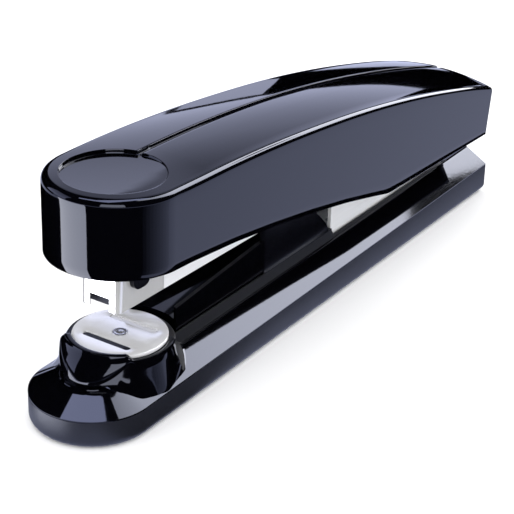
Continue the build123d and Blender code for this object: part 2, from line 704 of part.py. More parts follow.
def cover_outer(drop_rear):
    body = crowned_block(0, drop_rear) & cover_plan(0) & cover_profile()
    roof = max(body.faces(), key=lambda f: f.center().Z if f.area > 3000 else -1)
    return fillet(roof.edges(), COVER_EDGE_ROUND)


def cover_inner():
    body = crowned_block(COVER_WALL, BAND_STEP + COVER_WALL) & cover_plan(COVER_WALL)
    keep = side_plate([(-5, 0), (rear_wall(0) - COVER_WALL, 0), (rear_wall(FAR) - COVER_WALL, FAR), (-5, FAR)],
                      -FAR, FAR)
    return body & keep


def thumb_dish():
    """Round dish, level with the nose in front and deepest where it meets the band."""
    length = 2 * THUMB_RADIUS
    front = THUMB_STATION - THUMB_RADIUS
    rear_drop = BAND_STEP * smooth(front + length, STEP_START, STEP_FULL) + THUMB_DEPTH
    tilt = math.degrees(math.atan((arch(front) - arch(front + length) + rear_drop) / length))
    cutter = Pos(at(front), 0, arch(front)) * Rot(0, tilt, 0) * Pos(0, 0, FAR / 2) * Box(FAR, FAR, FAR)
    return post(THUMB_STATION, THUMB_RADIUS, COVER_TOP_HEIGHT / 2, FAR) & cutter


def frame_rear_top():
    roof = arch(FRAME_WEB_REAR_STATION) - BAND_STEP - COVER_WALL
    return roof - crown_fall(FRAME_WEB_REAR_STATION, FRAME_HALF + FRAME_SHEET) - FRAME_ROOF_GAP


def frame_web_top(station):
    share = (station - FRAME_FRONT_STATION) / (FRAME_WEB_REAR_STATION - FRAME_FRONT_STATION)
    return FRAME_FRONT_TOP + (frame_rear_top() - FRAME_FRONT_TOP) * share


def make_cover():
    far_side = cover_outer(0) & block(-10, BASE_LENGTH + 10, BAND_EDGE_Y, FAR, 0, FAR)
    near_side = cover_outer(BAND_STEP) & block(-10, BASE_LENGTH + 10, -FAR, BAND_EDGE_Y, 0, FAR)
    shell = far_side + near_side
    shell -= cover_inner()
    roof = crowned_block(BOSS_ROOF_SKIN, BAND_STEP + BOSS_ROOF_SKIN)
    for station in COVER_SCREW_STATIONS:
        shell += post(station, BOSS_RADIUS, frame_web_top(station) + BOSS_SEAT_GAP, FAR) & roof
        shell -= post(station, COVER_SCREW_RADIUS + RUN_FIT, 0, screw_end(station) + BOSS_SEAT_GAP)
    shell -= thumb_dish()
    return one(shell)


def screw_end(station):
    return frame_web_top(station) + COVER_SCREW_REACH


def make_frame():
    """Steel stiffener inside the cover: a folded U that turns on the hinge pin."""
    outer = FRAME_HALF + FRAME_SHEET
    front = FRAME_FRONT_STATION
    web_rear = FRAME_WEB_REAR_STATION
    side = [(front, FRAME_FRONT_TOP - FRAME_DEPTH), (PIVOT_STATION - EAR_RADIUS, PIVOT_HEIGHT - EAR_RADIUS),
            (PIVOT_STATION + FRAME_EAR_REACH, PIVOT_HEIGHT - EAR_RADIUS), (PIVOT_STATION + EAR_RADIUS, PIVOT_HEIGHT),
            (PIVOT_STATION + FRAME_EAR_REACH, PIVOT_HEIGHT + EAR_RADIUS), (web_rear, frame_rear_top()), (front, FRAME_FRONT_TOP)]
    body = both_sides(side, FRAME_HALF, outer)
    web = [(front, FRAME_FRONT_TOP - FRAME_SHEET), (web_rear, frame_rear_top() - FRAME_SHEET),
           (web_rear, frame_rear_top()), (front, FRAME_FRONT_TOP)]
    body += side_plate(web, -outer, outer)
    body -= cross_bar(PIVOT_STATION, PIVOT_HEIGHT, PIN_RADIUS + RUN_FIT, FAR)
    for station in COVER_SCREW_STATIONS:
        body -= post(station, COVER_SCREW_RADIUS + RUN_FIT, 0, FAR)
    return one(body)


def make_cover_screws():
    screws = []
    for station in COVER_SCREW_STATIONS:
        seat = frame_web_top(station + COVER_SCREW_HEAD) - FRAME_SHEET - COVER_SCREW_SEAT_GAP
        shank = post(station, COVER_SCREW_RADIUS, seat, screw_end(station))
        screws.append(one(shank + post(station, COVER_SCREW_HEAD, seat - COVER_SCREW_HEAD_DEPTH, seat)))
    return Compound(children=screws)


def tip_lift(station):
    """How far the magazine's resting tilt raises a point at a station."""
    return math.sin(math.radians(MAGAZINE_TILT_DEG)) * (PIVOT_STATION - station)


def blade_body():
    front = MAGAZINE_FRONT_STATION + BLADE_SETBACK
    top = HOLDER_BOTTOM + BLADE_GRIP - tip_lift(front)
    return tip(box(front, front + BLADE_THICKNESS, BLADE_HALF, BLADE_BOTTOM, top))


def make_holder():
    """Plastic block that hangs the driver blade from the frame."""
    s0 = HOLDER_STATION
    s1 = HOLDER_STATION + HOLDER_LENGTH
    body = box(s0, s1, FRAME_HALF, HOLDER_BOTTOM, frame_web_top(s1) - FRAME_SHEET - SEAT_GAP)
    return one(body - blade_body())


def make_handle_spring():
    station = HANDLE_SPRING_STATION
    low = SEAT_HEIGHT + tip_lift(station) + HANDLE_SPRING_GAP
    length = frame_web_top(station + HANDLE_SPRING_RADIUS) - FRAME_SHEET - 2 * HANDLE_SPRING_GAP - low
    spring = coil(HANDLE_SPRING_RADIUS, HANDLE_SPRING_WIRE / 2, HANDLE_SPRING_PITCH, length)
    return one(Pos(at(station), 0, low) * spring)


PARTS = {
    "base_tray": make_tray,
    "base_deck": make_deck,
    "anvil_disc": make_anvil,
    "anvil_rivet": make_rivet,
    "anvil_spring_washer": make_washer,
    "deck_screws": make_screws,
    "magazine_trough": make_trough,
    "spring_housing": make_housing,
    "hinge_bracket": make_bracket,
    "hinge_pin": make_pin,
    "hinge_pin_clip": make_pin_clip,
    "lift_spring": make_lift_spring,
    "nose_guard": make_guard,
    "magazine_channel": make_channel,
    "staple_rail": make_rail,
    "staple_strip": make_strip,
    "pusher": make_pusher,
    "pusher_rod": make_rod,
    "rod_anchor": make_anchor,
    "nose_saddle": make_saddle,
    "pusher_spring": make_pusher_spring,
    "handle_spring_seat": make_spring_seat,
    "cover_shell": make_cover,
    "cover_frame": make_frame,
    "cover_screws": make_cover_screws,
    "driver_holder": make_holder,
    "driver_blade": blade_body,
    "handle_spring": make_handle_spring,
}

os.makedirs("parts", exist_ok=True)
for name, make in PARTS.items():
    part = make()
    export_step(part, "parts/" + name + ".step")
    print(name, "volume", round(sum(s.volume for s in part.solids())))
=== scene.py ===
# %% [markdown]
# # A full-strip desk stapler
# A desk stapler is three long pieces on one pin: a base in a dark boot, a sheet-steel magazine, and a
# glossy moulded cover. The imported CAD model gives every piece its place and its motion. This lesson
# dresses it: it remakes the moulded skins as fine meshes, mixes a finish for every piece, and lights
# them in a small white studio.

# %% Load the fixed frame
import bpy, bmesh, json, math
from mathutils import Matrix, Vector

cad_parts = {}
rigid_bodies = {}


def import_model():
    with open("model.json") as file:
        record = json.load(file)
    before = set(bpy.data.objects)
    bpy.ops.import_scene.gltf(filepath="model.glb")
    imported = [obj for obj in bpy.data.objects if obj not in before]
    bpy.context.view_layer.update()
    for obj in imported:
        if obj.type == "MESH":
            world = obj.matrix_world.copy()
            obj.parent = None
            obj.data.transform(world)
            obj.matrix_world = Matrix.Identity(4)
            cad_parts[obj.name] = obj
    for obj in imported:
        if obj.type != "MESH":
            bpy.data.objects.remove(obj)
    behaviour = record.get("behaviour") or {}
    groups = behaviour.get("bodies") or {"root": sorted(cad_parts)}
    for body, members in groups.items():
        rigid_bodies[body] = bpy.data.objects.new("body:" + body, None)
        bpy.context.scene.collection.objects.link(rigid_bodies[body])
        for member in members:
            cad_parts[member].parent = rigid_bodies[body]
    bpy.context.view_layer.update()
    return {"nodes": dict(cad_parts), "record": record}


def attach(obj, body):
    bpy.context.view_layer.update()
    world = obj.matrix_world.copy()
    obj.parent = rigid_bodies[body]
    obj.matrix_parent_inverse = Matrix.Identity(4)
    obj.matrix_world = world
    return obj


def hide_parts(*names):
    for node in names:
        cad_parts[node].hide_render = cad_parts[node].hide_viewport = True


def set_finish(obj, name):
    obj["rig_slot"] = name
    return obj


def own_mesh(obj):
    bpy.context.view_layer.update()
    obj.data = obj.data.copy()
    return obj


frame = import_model()

# %% [markdown]
# ## Measures
# The maker draws a stapler from its front tip backwards, so places along it are given as stations in
# millimetres behind the base's front tip. One helper turns a station, an offset across and a height
# into the frame's metres.

# %% Stations
MM = 0.001
BASE_LENGTH = 225.0


def place(station, across, height):
    return Vector(((station - BASE_LENGTH / 2) * MM, across * MM, height * MM))


def ease(value, low, high):
    """Smooth 0 to 1 as value goes from low to high."""
    t = min(max((value - low) / (high - low), 0.0), 1.0)
    return t * t * (3 - 2 * t)


def spread(low, high, count):
    return [low + (high - low) * i / count for i in range(count + 1)]


print("front tip", place(0, 0, 0), "rear edge", place(BASE_LENGTH, 0, 0))

# %% [markdown]
# ## Skins
# A moulded skin is easiest to control as rows of points: each row is one line across or around the
# piece, and neighbouring rows are joined by quads. Patches that share their border points are welded,
# so several simple patches make one closed skin.

# %% Mesh from patches
SHARP_ANGLE = math.radians(38)
WELD_DISTANCE = 2e-6


def add_piece(name, bm, body, slot, nodes):
    """Turns a finished bmesh into a piece that rides a body and stands in for CAD nodes."""
    bmesh.ops.recalc_face_normals(bm, faces=bm.faces)
    open_edges = sum(1 for edge in bm.edges if not edge.is_manifold)
    mesh = bpy.data.meshes.new(name)
    bm.to_mesh(mesh)
    bm.free()
    mesh.shade_smooth()
    mesh.set_sharp_from_angle(angle=SHARP_ANGLE)
    piece = bpy.data.objects.new(name, mesh)
    bpy.context.scene.collection.objects.link(piece)
    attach(piece, body)
    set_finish(piece, slot)
    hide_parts(*nodes)
    print(name, "vertices", len(mesh.vertices), "open edges", open_edges)
    return piece


def weld(name, patches, body, slot, nodes):
    """One closed piece from patches; a patch is rows of points, and a single row is a cap."""
    bm = bmesh.new()
    for rows in patches:
        grid = [[bm.verts.new(p) for p in row] for row in rows]
        if len(grid) == 1:
            bm.faces.new(grid[0])
        for a, b in zip(grid, grid[1:]):
            for i in range(len(a) - 1):
                bm.faces.new((a[i], a[i + 1], b[i + 1], b[i]))
    bmesh.ops.remove_doubles(bm, verts=bm.verts, dist=WELD_DISTANCE)
    bmesh.ops.dissolve_degenerate(bm, edges=bm.edges, dist=WELD_DISTANCE / 2)
    return add_piece(name, bm, body, slot, nodes)


def ring(points):
    """The same row with its first point repeated, so that a patch closes on itself."""
    return points + points[:1]


print("edges sharper than", round(math.degrees(SHARP_ANGLE)), "degrees stay crisp")

# %% [markdown]
# ## The cover
# The cover is one glossy moulding, 41 mm wide. Its roof is a long arch, crowned across, with two bands:
# the far band stands a little proud of the near one and a narrow groove runs between them from the
# round thumb dish to the rear. A height formula describes that roof exactly, so the mesh only has to
# lay its points where the shape changes fast: on rings around the dish and on lines along the groove.

# %% Cover: the roof's height
COVER_FRONT = 9.3
COVER_HALF = 20.5
COVER_TAPER = 0.9 / 204.5
NOSE_CENTRE = COVER_FRONT + COVER_HALF
DISH_CENTRE = 29.0
DISH_RADIUS = 15.0
GROOVE_FAR = 3.0
GROOVE_WIDTH = 1.2
GROOVE_DEPTH = 0.95
GROOVE_WALL = 0.08
FAR_ROUND, FAR_ROUND_WIDTH = 0.14, 0.45
NEAR_ROUND, NEAR_ROUND_WIDTH = 0.3, 1.1
CREST = 28.75
CREST_HEIGHT = 73.4
ARCH_RADIUS = 650.0


def cover_half(station):
    return COVER_HALF - COVER_TAPER * max(station - NOSE_CENTRE, 0)


def arch(station):
    return CREST_HEIGHT - (station - CREST) ** 2 / (2 * ARCH_RADIUS)


def crown(station):
    return 0.6 + 1.6 * ease(station, 20, 115)


def band_far(station, y):
    return arch(station) - crown(station) * (y / COVER_HALF) ** 2


def band_near(station, y):
    drop = ease(station, 10, 48)
    fall = 0.3 + 1.0 * ((GROOVE_FAR - min(y, GROOVE_FAR)) / (COVER_HALF + GROOVE_FAR)) ** 2
    return band_far(station, y) - drop * fall


# %% [markdown]
# Across the groove the roof is read off in order: far band, rounded edge, steep wall, floor, steep
# wall, rounded edge, near band. The groove fades in behind the nose, so every depth is scaled by the
# same share.

# %% Cover: the groove
def roof(station, y):
    """Height of the roof outside the dish."""
    depth = ease(station, 22, 44)
    floor = band_far(station, GROOVE_FAR) - GROOVE_DEPTH * depth
    off = y - GROOVE_FAR
    if off >= 0:
        return band_far(station, y) - FAR_ROUND * depth * max(1 - off / FAR_ROUND_WIDTH, 0) ** 2
    if off > -GROOVE_WALL:
        top = band_far(station, GROOVE_FAR) - FAR_ROUND * depth
        return top + (floor - top) * (-off / GROOVE_WALL)
    near = off + GROOVE_WIDTH
    if near > 0:
        return floor
    edge = band_near(station, y) - NEAR_ROUND * depth * max(1 + near / NEAR_ROUND_WIDTH, 0) ** 2
    if near > -GROOVE_WALL:
        return floor + (edge - floor) * (-near / GROOVE_WALL)
    return edge


print("crest", round(arch(CREST), 2), "groove floor at 100", round(roof(100, 2.5), 2))

# %% [markdown]
# The dish is a shallow round recess for the thumb. Its floor starts level with the roof at the near
# side and sinks towards the far side and the rear, so its wall is tall and dark there and fades to a
# crease at the near side.

# %% Cover: the thumb dish
DISH_FADE = 0.2
DISH_HEIGHT = 73.25
DISH_START = 14.0
DISH_FALL_REAR = 0.022
DISH_FALL_FAR = 0.034
DISH_BOWL = 0.0009
DISH_STEP = 0.1


def dish_floor(station, y):
    low = DISH_HEIGHT - DISH_FALL_REAR * (station - DISH_START)
    bowl = DISH_BOWL * (DISH_RADIUS ** 2 - (station - DISH_CENTRE) ** 2 - y ** 2)
    return low - DISH_FALL_FAR * (y + DISH_START) - bowl


def cover_top(station, y):
    r = math.hypot(station - DISH_CENTRE, y)
    share = ease(r, DISH_RADIUS - DISH_FADE, DISH_RADIUS + DISH_FADE)
    if share >= 1:
        return roof(station, y)
    inside = min(dish_floor(station, y), roof(station, y) - DISH_STEP)
    return inside + (roof(station, y) - inside) * share


print("dish floor in the middle", round(cover_top(DISH_CENTRE, 0), 2))

# %% [markdown]
# The roof's points: rays run from the dish's centre over its rim to the cover's edge. Behind the dish
# the rays straighten out and become lines along the cover, close together at the groove.

# %% Cover: rays and lines
SPLIT = 50.0            # behind this station the rays run along the cover
STRAIGHT = 6.0          # lines this near the middle stay parallel
TURN = 10.4301          # the last ray that still meets the split line
EDGE_ROUND = 2.2
GROOVE_REACH = 2.1      # half the width that gets the groove's own close lines

groove_lines = [-2.6, -2.3, -2.0, -1.75, -1.5, -1.28, -1.2, -1.0, -0.6, -0.2, -0.08, -0.001, 0.12, 0.3, 0.5,
                0.7, 0.9, 1.2]
across = [y for y in spread(-14.9, 14.9, 40) if abs(y - GROOVE_FAR + GROOVE_WIDTH / 2) > GROOVE_REACH]
across = sorted(across + [GROOVE_FAR + g for g in groove_lines])
rays = [("rear", y) for y in across]
rays += [("nose", a) for a in spread(90, 270, 72)]


def rim_point(ray, radius):
    """A point of a ray at a radius about the dish's centre."""
    kind, value = ray
    if kind == "rear":
        return DISH_CENTRE + radius * math.sqrt(1 - (value / DISH_RADIUS) ** 2), value * radius / DISH_RADIUS
    a = math.radians(value)
    return DISH_CENTRE + radius * math.cos(a), radius * math.sin(a)


def edge_point(ray, inset):
    """Where a ray meets the cover's edge, or the split line behind the dish."""
    kind, value = ray
    if kind == "nose":
        a = math.radians(value)
        return NOSE_CENTRE + (COVER_HALF - inset) * math.cos(a), (COVER_HALF - inset) * math.sin(a)
    side = math.copysign(1, value)
    size = abs(value)
    if size <= TURN:
        if size <= STRAIGHT:
            return SPLIT, value
        wide = cover_half(SPLIT) - inset - STRAIGHT
        return SPLIT, side * (STRAIGHT + wide * (size - STRAIGHT) / (TURN - STRAIGHT))
    station = SPLIT + (NOSE_CENTRE - SPLIT) * (size - TURN) / (DISH_RADIUS - TURN)
    return station, side * (cover_half(station) - inset)


def line_y(y_split, station, inset):
    """A line that leaves the split at y_split, kept off the edge as the cover narrows."""
    if abs(y_split) <= STRAIGHT:
        return y_split
    share = (abs(y_split) - STRAIGHT) / (cover_half(SPLIT) - inset - STRAIGHT)
    return math.copysign(STRAIGHT + (cover_half(station) - inset - STRAIGHT) * share, y_split)


rear_rays = [r for r in rays if r[0] == "rear" and abs(r[1]) <= TURN + 1e-6]
print("rays", len(rays), "lines", len(rear_rays))

# %% [markdown]
# The same rays serve twice: once for the roof that is seen, with close rings at the dish's rim, and
# once, further in and with few rings, for the lining under it.

# %% Cover: patches of the roof and of its lining
REAR_LEAN = 0.15
REAR_FOOT, REAR_FOOT_HEIGHT = 219.4, 24.4
REAR_TOP_HEIGHT = 45.0
REAR_TOP = REAR_FOOT + REAR_LEAN * (REAR_TOP_HEIGHT - REAR_FOOT_HEIGHT)
LONG_STEPS = 56
DISH_RINGS = [0.0, 3, 6, 9, 11.5, 13.2, 14.2, 14.6, 14.8, 14.87, 14.93, 15.0, 15.07, 15.13, 15.2, 15.4]
LINING_RINGS = [0.0, 5, 10, 15.4]


def between(a, b, share):
    return a[0] + (b[0] - a[0]) * share, a[1] + (b[1] - a[1]) * share


def roof_patches(inset, height, rings):
    """The round patch about the dish and the long patch behind it, at an inset from the outline."""
    rows = [[rim_point(r, radius) for r in rays] for radius in rings]
    for share in (0.15, 0.35, 0.6, 0.82, 1.0):
        rows.append([between(rim_point(r, rings[-1]), edge_point(r, inset), share) for r in rays])
    lines = [edge_point(r, inset)[1] for r in rear_rays]
    stations = spread(SPLIT, REAR_TOP - inset, LONG_STEPS)
    long_rows = [[(s, line_y(y, s, inset)) for y in lines] for s in stations]
    lift = lambda row: [place(s, y, height(s, y)) for s, y in row]
    return [[ring(lift(row)) for row in rows], [lift(row) for row in long_rows]]


print("rear edge of the roof at station", round(REAR_TOP, 2))

# %% [markdown]
# The side wall hangs from the roof's outer edge, so its points must be the very points where the rays
# end. Walking once round the edge collects them in order.

# %% Cover: the outline
def outline(inset):
    """The edge once round: near side from the rear forwards, the nose, the far side, the rear."""
    stations = spread(SPLIT, REAR_TOP - inset, LONG_STEPS)
    near = [(s, line_y(edge_point(rear_rays[0], inset)[1], s, inset)) for s in stations[::-1]]
    low = [edge_point(r, inset) for r in rays if r[0] == "rear" and r[1] < -TURN]
    arc = [edge_point(r, inset) for r in rays if r[0] == "nose"]
    high = [edge_point(r, inset) for r in rays if r[0] == "rear" and r[1] > TURN]
    far = [(s, line_y(edge_point(rear_rays[-1], inset)[1], s, inset)) for s in stations]
    lines = [edge_point(r, inset)[1] for r in rear_rays]
    back = [(stations[-1], line_y(y, stations[-1], inset)) for y in lines[::-1]]
    return near + low[::-1] + arc[::-1] + high[::-1] + far + back[1:-1]


print("points round the edge", len(outline(0)))

# %% [markdown]
# The lower edge rises gently from the rear, then steeply, and levels out at the nose. The wall's rows
# run from the roof over a quarter round, straight down, round a thin lip and up the inside to the
# lining.

# %% Cover: the wall's rows
LOWER_EDGE = [(9.3, 49.3), (24, 48.6), (38, 47.5), (60, 45.0), (80, 42.0), (102, 38.1), (123, 33.7), (140, 29.5),
              (150, 26.9), (219.4, 24.4), (223, 24.3)]


def cover_low(station):
    for (s0, z0), (s1, z1) in zip(LOWER_EDGE, LOWER_EDGE[1:]):
        if station <= s1:
            return z0 + (z1 - z0) * (station - s0) / (s1 - s0)
    return LOWER_EDGE[-1][1]


LINING_INSET = EDGE_ROUND + 1.0
LINING_DEPTH = 3.6
LINING_START = 3.4      # how far under the roof the inside of the wall ends
COVER_LIP = 0.4
LEAN_START, LEAN_END = 185.0, REAR_TOP - 2.5


def lean_shift(station, height):
    """How far a point moves forwards, so that the rear leans."""
    return REAR_LEAN * (REAR_TOP_HEIGHT - height) * ease(station, LEAN_START, LEAN_END)


def lining_top(station, y):
    return band_far(station, y) - LINING_DEPTH


def cover_rows():
    """Rows from the roof's edge over the round, down the wall, round the lip and up inside."""
    inner, outer, lining = outline(EDGE_ROUND), outline(0), outline(LINING_INSET)
    rows = []
    for a in spread(0, 90, 8):
        c, s = math.cos(math.radians(a)), math.sin(math.radians(a))
        rows.append([(p[0] + (q[0] - p[0]) * s, p[1] + (q[1] - p[1]) * s,
                      cover_top(*p) - EDGE_ROUND * (1 - c)) for p, q in zip(inner, outer)])
    top = [cover_top(*p) - EDGE_ROUND for p in inner]
    low = [cover_low(q[0]) for q in outer]
    for t in (0.12, 0.3, 0.5, 0.7, 0.88):
        rows.append([(q[0], q[1], z1 + (z0 + COVER_LIP - z1) * t) for q, z0, z1 in zip(outer, low, top)])
    for inward, lift in ((0.0, COVER_LIP), (0.12, 0.12), (COVER_LIP, 0.0), (2.1, 0.0)):
        share = inward / EDGE_ROUND
        rows.append([(q[0] + (p[0] - q[0]) * share, q[1] + (p[1] - q[1]) * share, z0 + lift)
                     for p, q, z0 in zip(inner, outer, low)])
    rows.append([(p[0], p[1], cover_top(*p) - LINING_START) for p in inner])
    rows.append([(p[0], p[1], lining_top(*p)) for p in lining])
    return [ring([place(s - lean_shift(s, z), y, z) for s, y, z in row]) for row in rows]


print("lower edge at the nose", cover_low(COVER_FRONT), "and at the rear", cover_low(REAR_FOOT))

# %% [markdown]
# The wall already leans at the rear; the roof and the lining are leant to match, and then all five
# patches are welded into one skin.

# %% Cover: one skin
def leant(patches):
    """The same patches with every point shifted forwards by the rear's lean."""
    moved = lambda p: p - Vector((lean_shift(p.x / MM + BASE_LENGTH / 2, p.z / MM) * MM, 0, 0))
    return [[[moved(p) for p in row] for row in rows] for rows in patches]


cover_patches = leant(roof_patches(EDGE_ROUND, cover_top, DISH_RINGS)) + [cover_rows()]
cover_patches += leant(roof_patches(LINING_INSET, lining_top, LINING_RINGS))
weld("cover_skin", cover_patches, "cover", "gloss_black", ["cover_shell"])

# %% [markdown]
# ## The deck
# The deck is the glossy upper half of the base. Its sides slope up from the parting line to a flat
# shoulder, and two thin lips stand along the channel that the magazine sinks into. The section is
# drawn once for every step along the outline, so the slope runs round the nose without a seam.

# %% Deck: outline and slope
BASE_HALF = 18.75
BASE_TAPER = 0.65 / 206.25
SLOPE_RUN = 7.9
SLOPE_RATE = 0.64
PART_STEP = 0.5
LIP_OUTER = 9.7
LIP_INNER = 8.85
CHANNEL_FLOOR = 11.9
CHANNEL_START = 43.5
CHANNEL_END = 209.0
LIP_FRONT, LIP_REAR = 18.0, 15.6
LIP_DROP = (131, 133)
LIP_FADE = 203


def base_half(station):
    return BASE_HALF - BASE_TAPER * max(station - BASE_HALF, 0)


def part_line(station):
    return 8.6 + 1.5 * station / BASE_LENGTH


def inside_base(station, y):
    if station < BASE_HALF:
        return BASE_HALF - math.hypot(station - BASE_HALF, y)
    return base_half(station) - abs(y)


def slope_height(station, y):
    d = min(max(inside_base(station, y), 0), SLOPE_RUN)
    return part_line(station) + SLOPE_RATE * d


def lip_height(station):
    """Top of the lips: high beside the trough and the housing, low and falling behind them."""
    shoulder = part_line(station) + SLOPE_RATE * SLOPE_RUN
    drop = ease(station, *LIP_DROP)
    high = LIP_FRONT * (1 - drop) + LIP_REAR * drop
    present = ease(station, CHANNEL_START - 1, CHANNEL_START) * (1 - ease(station, LIP_FADE, CHANNEL_END))
    return shoulder + (high - shoulder) * present


def deck_section(station, half):
    """(distance from the centre line, height) from the parting line in to the middle."""
    line = part_line(station)
    shoulder = line + SLOPE_RATE * SLOPE_RUN
    lip = lip_height(station)
    sunk = ease(station, CHANNEL_START - 0.6, CHANNEL_START)
    sunk *= 1 - ease(station, CHANNEL_END - 1.0, CHANNEL_END)
    floor = shoulder + (CHANNEL_FLOOR - shoulder) * sunk
    points = [(half - 0.4, line - 0.02), (half - 0.12, line), (half - 0.03, line + 0.12), (half, line + PART_STEP)]
    points += [(half - SLOPE_RUN * t, line + PART_STEP + (shoulder - line - PART_STEP) * t)
               for t in spread(0.015, 1, 10)]
    points += [(LIP_OUTER + 0.45, shoulder + 0.02), (LIP_OUTER + 0.12, shoulder + 0.1),
               (LIP_OUTER, shoulder + 0.3), (LIP_OUTER, max(lip - 0.3, shoulder + 0.3)),
               (LIP_OUTER - 0.1, max(lip - 0.08, shoulder + 0.3)),
               (LIP_OUTER - 0.3, lip), (LIP_INNER + 0.2, lip), (LIP_INNER, max(lip - 0.15, floor)),
               (LIP_INNER, floor), (0.0, floor)]
    return points


print("points in a section", len(deck_section(100, base_half(100))))

# %% [markdown]
# The section is set at stations along both sides and turned round the nose. Stations crowd together
# where the lips begin, step down and end.

# %% Deck: sections along the base
def deck_patches():
    stations = [225.0, 224.0, 222, 218, 214, 210, 209.5, 209, 208.5, 208, 206, 204, 202] + spread(198, 134, 16)
    stations += [133, 132.5, 132, 131.5, 131, 130] + spread(126, 46, 20)
    stations += [44, 43.5, 43.2, 42.9, 42.5, 40, 34, 28, 22]
    far = [[place(s, y, z) for y, z in deck_section(s, base_half(s))] for s in stations]
    nose = []
    for a in spread(90, 270, 60):
        c, d = math.cos(math.radians(a)), math.sin(math.radians(a))
        section = deck_section(BASE_HALF + BASE_HALF * c, BASE_HALF)
        nose.append([place(BASE_HALF + y * c, y * d, z) for y, z in section])
    near = [[place(s, -y, z) for y, z in deck_section(s, base_half(s))] for s in stations[::-1]]
    rows = far + nose + near
    under = [[row[0] for row in rows]]
    rear = [far[0] + near[-1][::-1][1:]]
    return [rows, under, rear]


deck = deck_patches()
print("sections", len(deck[0]))

# %% [markdown]
# The anvil's pod stands on the nose of the deck: a round tower with a seat for the anvil plate, a
# raised visor around its front and a foot that flares softly into the slope. Every direction about
# its axis gets its own profile, because the visor sinks away to both sides and the slope under the
# foot changes height.

# %% Deck: the pod
POD = 31.2
POD_TOP = 20.6
SEAT = 20.2
VISOR_TOP = 22.6
VISOR_END = 50.0
WALL_TOP_RADIUS = 15.5
VISOR_RIM, REAR_RIM = 16.1, 15.6
RIDGE_LOW = 13.6        # the visor's lower ridge at the very front
RIDGE_LEAN = 0.48
FOOT_STEP = 0.05
FOOT_LOWEST = 9.5
FOOT_BURIED = 9.0


def pod_profile(angle):
    """(radius, height) from the seat over the rim and the visor and down the wall to the slope."""
    a = abs(angle)
    visor = 1 - ease(a, VISOR_END - 6, VISOR_END + 4)
    top = POD_TOP + (VISOR_TOP - POD_TOP) * visor
    swing = min((1 - math.cos(math.radians(a))) / (1 - math.cos(math.radians(VISOR_END))), 1.0)
    ridge_z = RIDGE_LOW + (top - 0.8 - RIDGE_LOW) * swing ** 0.9
    rim = VISOR_RIM * visor + REAR_RIM * (1 - visor)
    ridge_r = rim + (top - ridge_z) * RIDGE_LEAN
    points = [(12.9, SEAT), (14.12, SEAT), (14.15, top - 0.25), (14.3, top - 0.05), (14.5, top),
              (rim - 0.35, top), (rim - 0.1, top - 0.08), (rim, top - 0.3)]
    for t in spread(0.1, 1, 6):
        z = top - 0.3 + (ridge_z - top + 0.3) * t
        points.append((rim + (ridge_r - rim) * t + 0.55 * math.sin(math.pi * t) * visor, z))
    points += [(ridge_r - 0.06, ridge_z - 0.16), (ridge_r - 0.25, ridge_z - 0.28)]
    nose = 1 - ease(a, 10, 62)
    rate = 0.19 + 0.36 * nose + 0.11 * ease(a, 38, 55) * (1 - ease(a, 82, 104))
    wall = lambda z: WALL_TOP_RADIUS + (POD_TOP - z) * rate
    c, d = -math.cos(math.radians(angle)), -math.sin(math.radians(angle))
    ground = lambda r: slope_height(POD + r * c, r * d)
    z = POD_TOP - 1
    while z > ground(wall(z)) and z > FOOT_LOWEST:
        z -= FOOT_STEP
    foot_z, foot_r = z, wall(z)
    reach = foot_r
    while inside_base(POD + reach * c, reach * d) > 0.5 and reach < foot_r + 3.4 - 1.6 * nose:
        reach += FOOT_STEP
    start = min(foot_z + 3.2 - 2.6 * nose + 2.2 * ease(a, 45, 70), ridge_z - 0.4)
    below = ridge_z - 0.42
    points += [(wall(below + (start - below) * t), below + (start - below) * t) for t in (0, 0.35, 0.7, 1.0)]
    first, last = (wall(start), start), (reach, ground(reach) - 0.03)
    for t in spread(0, 1, 9)[1:]:
        u = 1 - t
        points.append((first[0] * u * u + 2 * foot_r * u * t + last[0] * t * t,
                       first[1] * u * u + 2 * foot_z * u * t + last[1] * t * t))
    points.append((reach - 0.1, FOOT_BURIED))
    return points


print("points from seat to foot", len(pod_profile(0)))

# %% [markdown]
# Swept round, the profiles close the pod by itself. Its foot is buried in the deck, so the two make
# one piece without having to share points.

# %% Deck: one skin
def pod_patches():
    rows = []
    for angle in spread(-180, 180, 180)[:-1]:
        c, d = -math.cos(math.radians(angle)), -math.sin(math.radians(angle))
        rows.append([place(POD + r * c, r * d, z) for r, z in pod_profile(angle)])
    return [ring(rows), [[row[0] for row in rows]], [[row[-1] for row in rows]]]


deck_skin = weld("deck_skin", deck + pod_patches(), "base", "gloss_black", ["base_deck"])


# %% [markdown]
# ## The anvil plate
# The anvil is a nickel-plated disc that turns to fold the staple legs inwards or outwards. The front
# groove is the deeper one, and its dark shade is painted in by a black sheet; the rear one is a shallow
# pressing. A face with holes is simplest as closed loops filled between with triangles, with the groove walls hung
# below them.

# %% Anvil plate: loops
PLATE_CENTRE = 31.2
PLATE_RADIUS = 14.0
PLATE_TOP = 21.7
GROOVE_OFFSET = 6.3
GROOVE_HALF = 8.4
GROOVE_RADIUS = 1.1
PLATE_POINTS = 96


def loop(bm, points):
    return [bm.verts.new(p) for p in points]


def join(bm, first, second):
    """A band of quads between two loops with the same number of points."""
    for i in range(len(first)):
        j = (i + 1) % len(first)
        bm.faces.new((first[i], first[j], second[j], second[i]))


def stadium(offset, grow, height):
    """A long slot with rounded ends, across the plate."""
    points = []
    radius = GROOVE_RADIUS + grow
    for end in (1, -1):
        for a in spread(0, 180, 12):
            c, d = math.cos(math.radians(a)), math.sin(math.radians(a))
            points.append(place(PLATE_CENTRE + offset + radius * c * end,
                                end * (GROOVE_HALF - GROOVE_RADIUS) + radius * d * end, height))
    return points


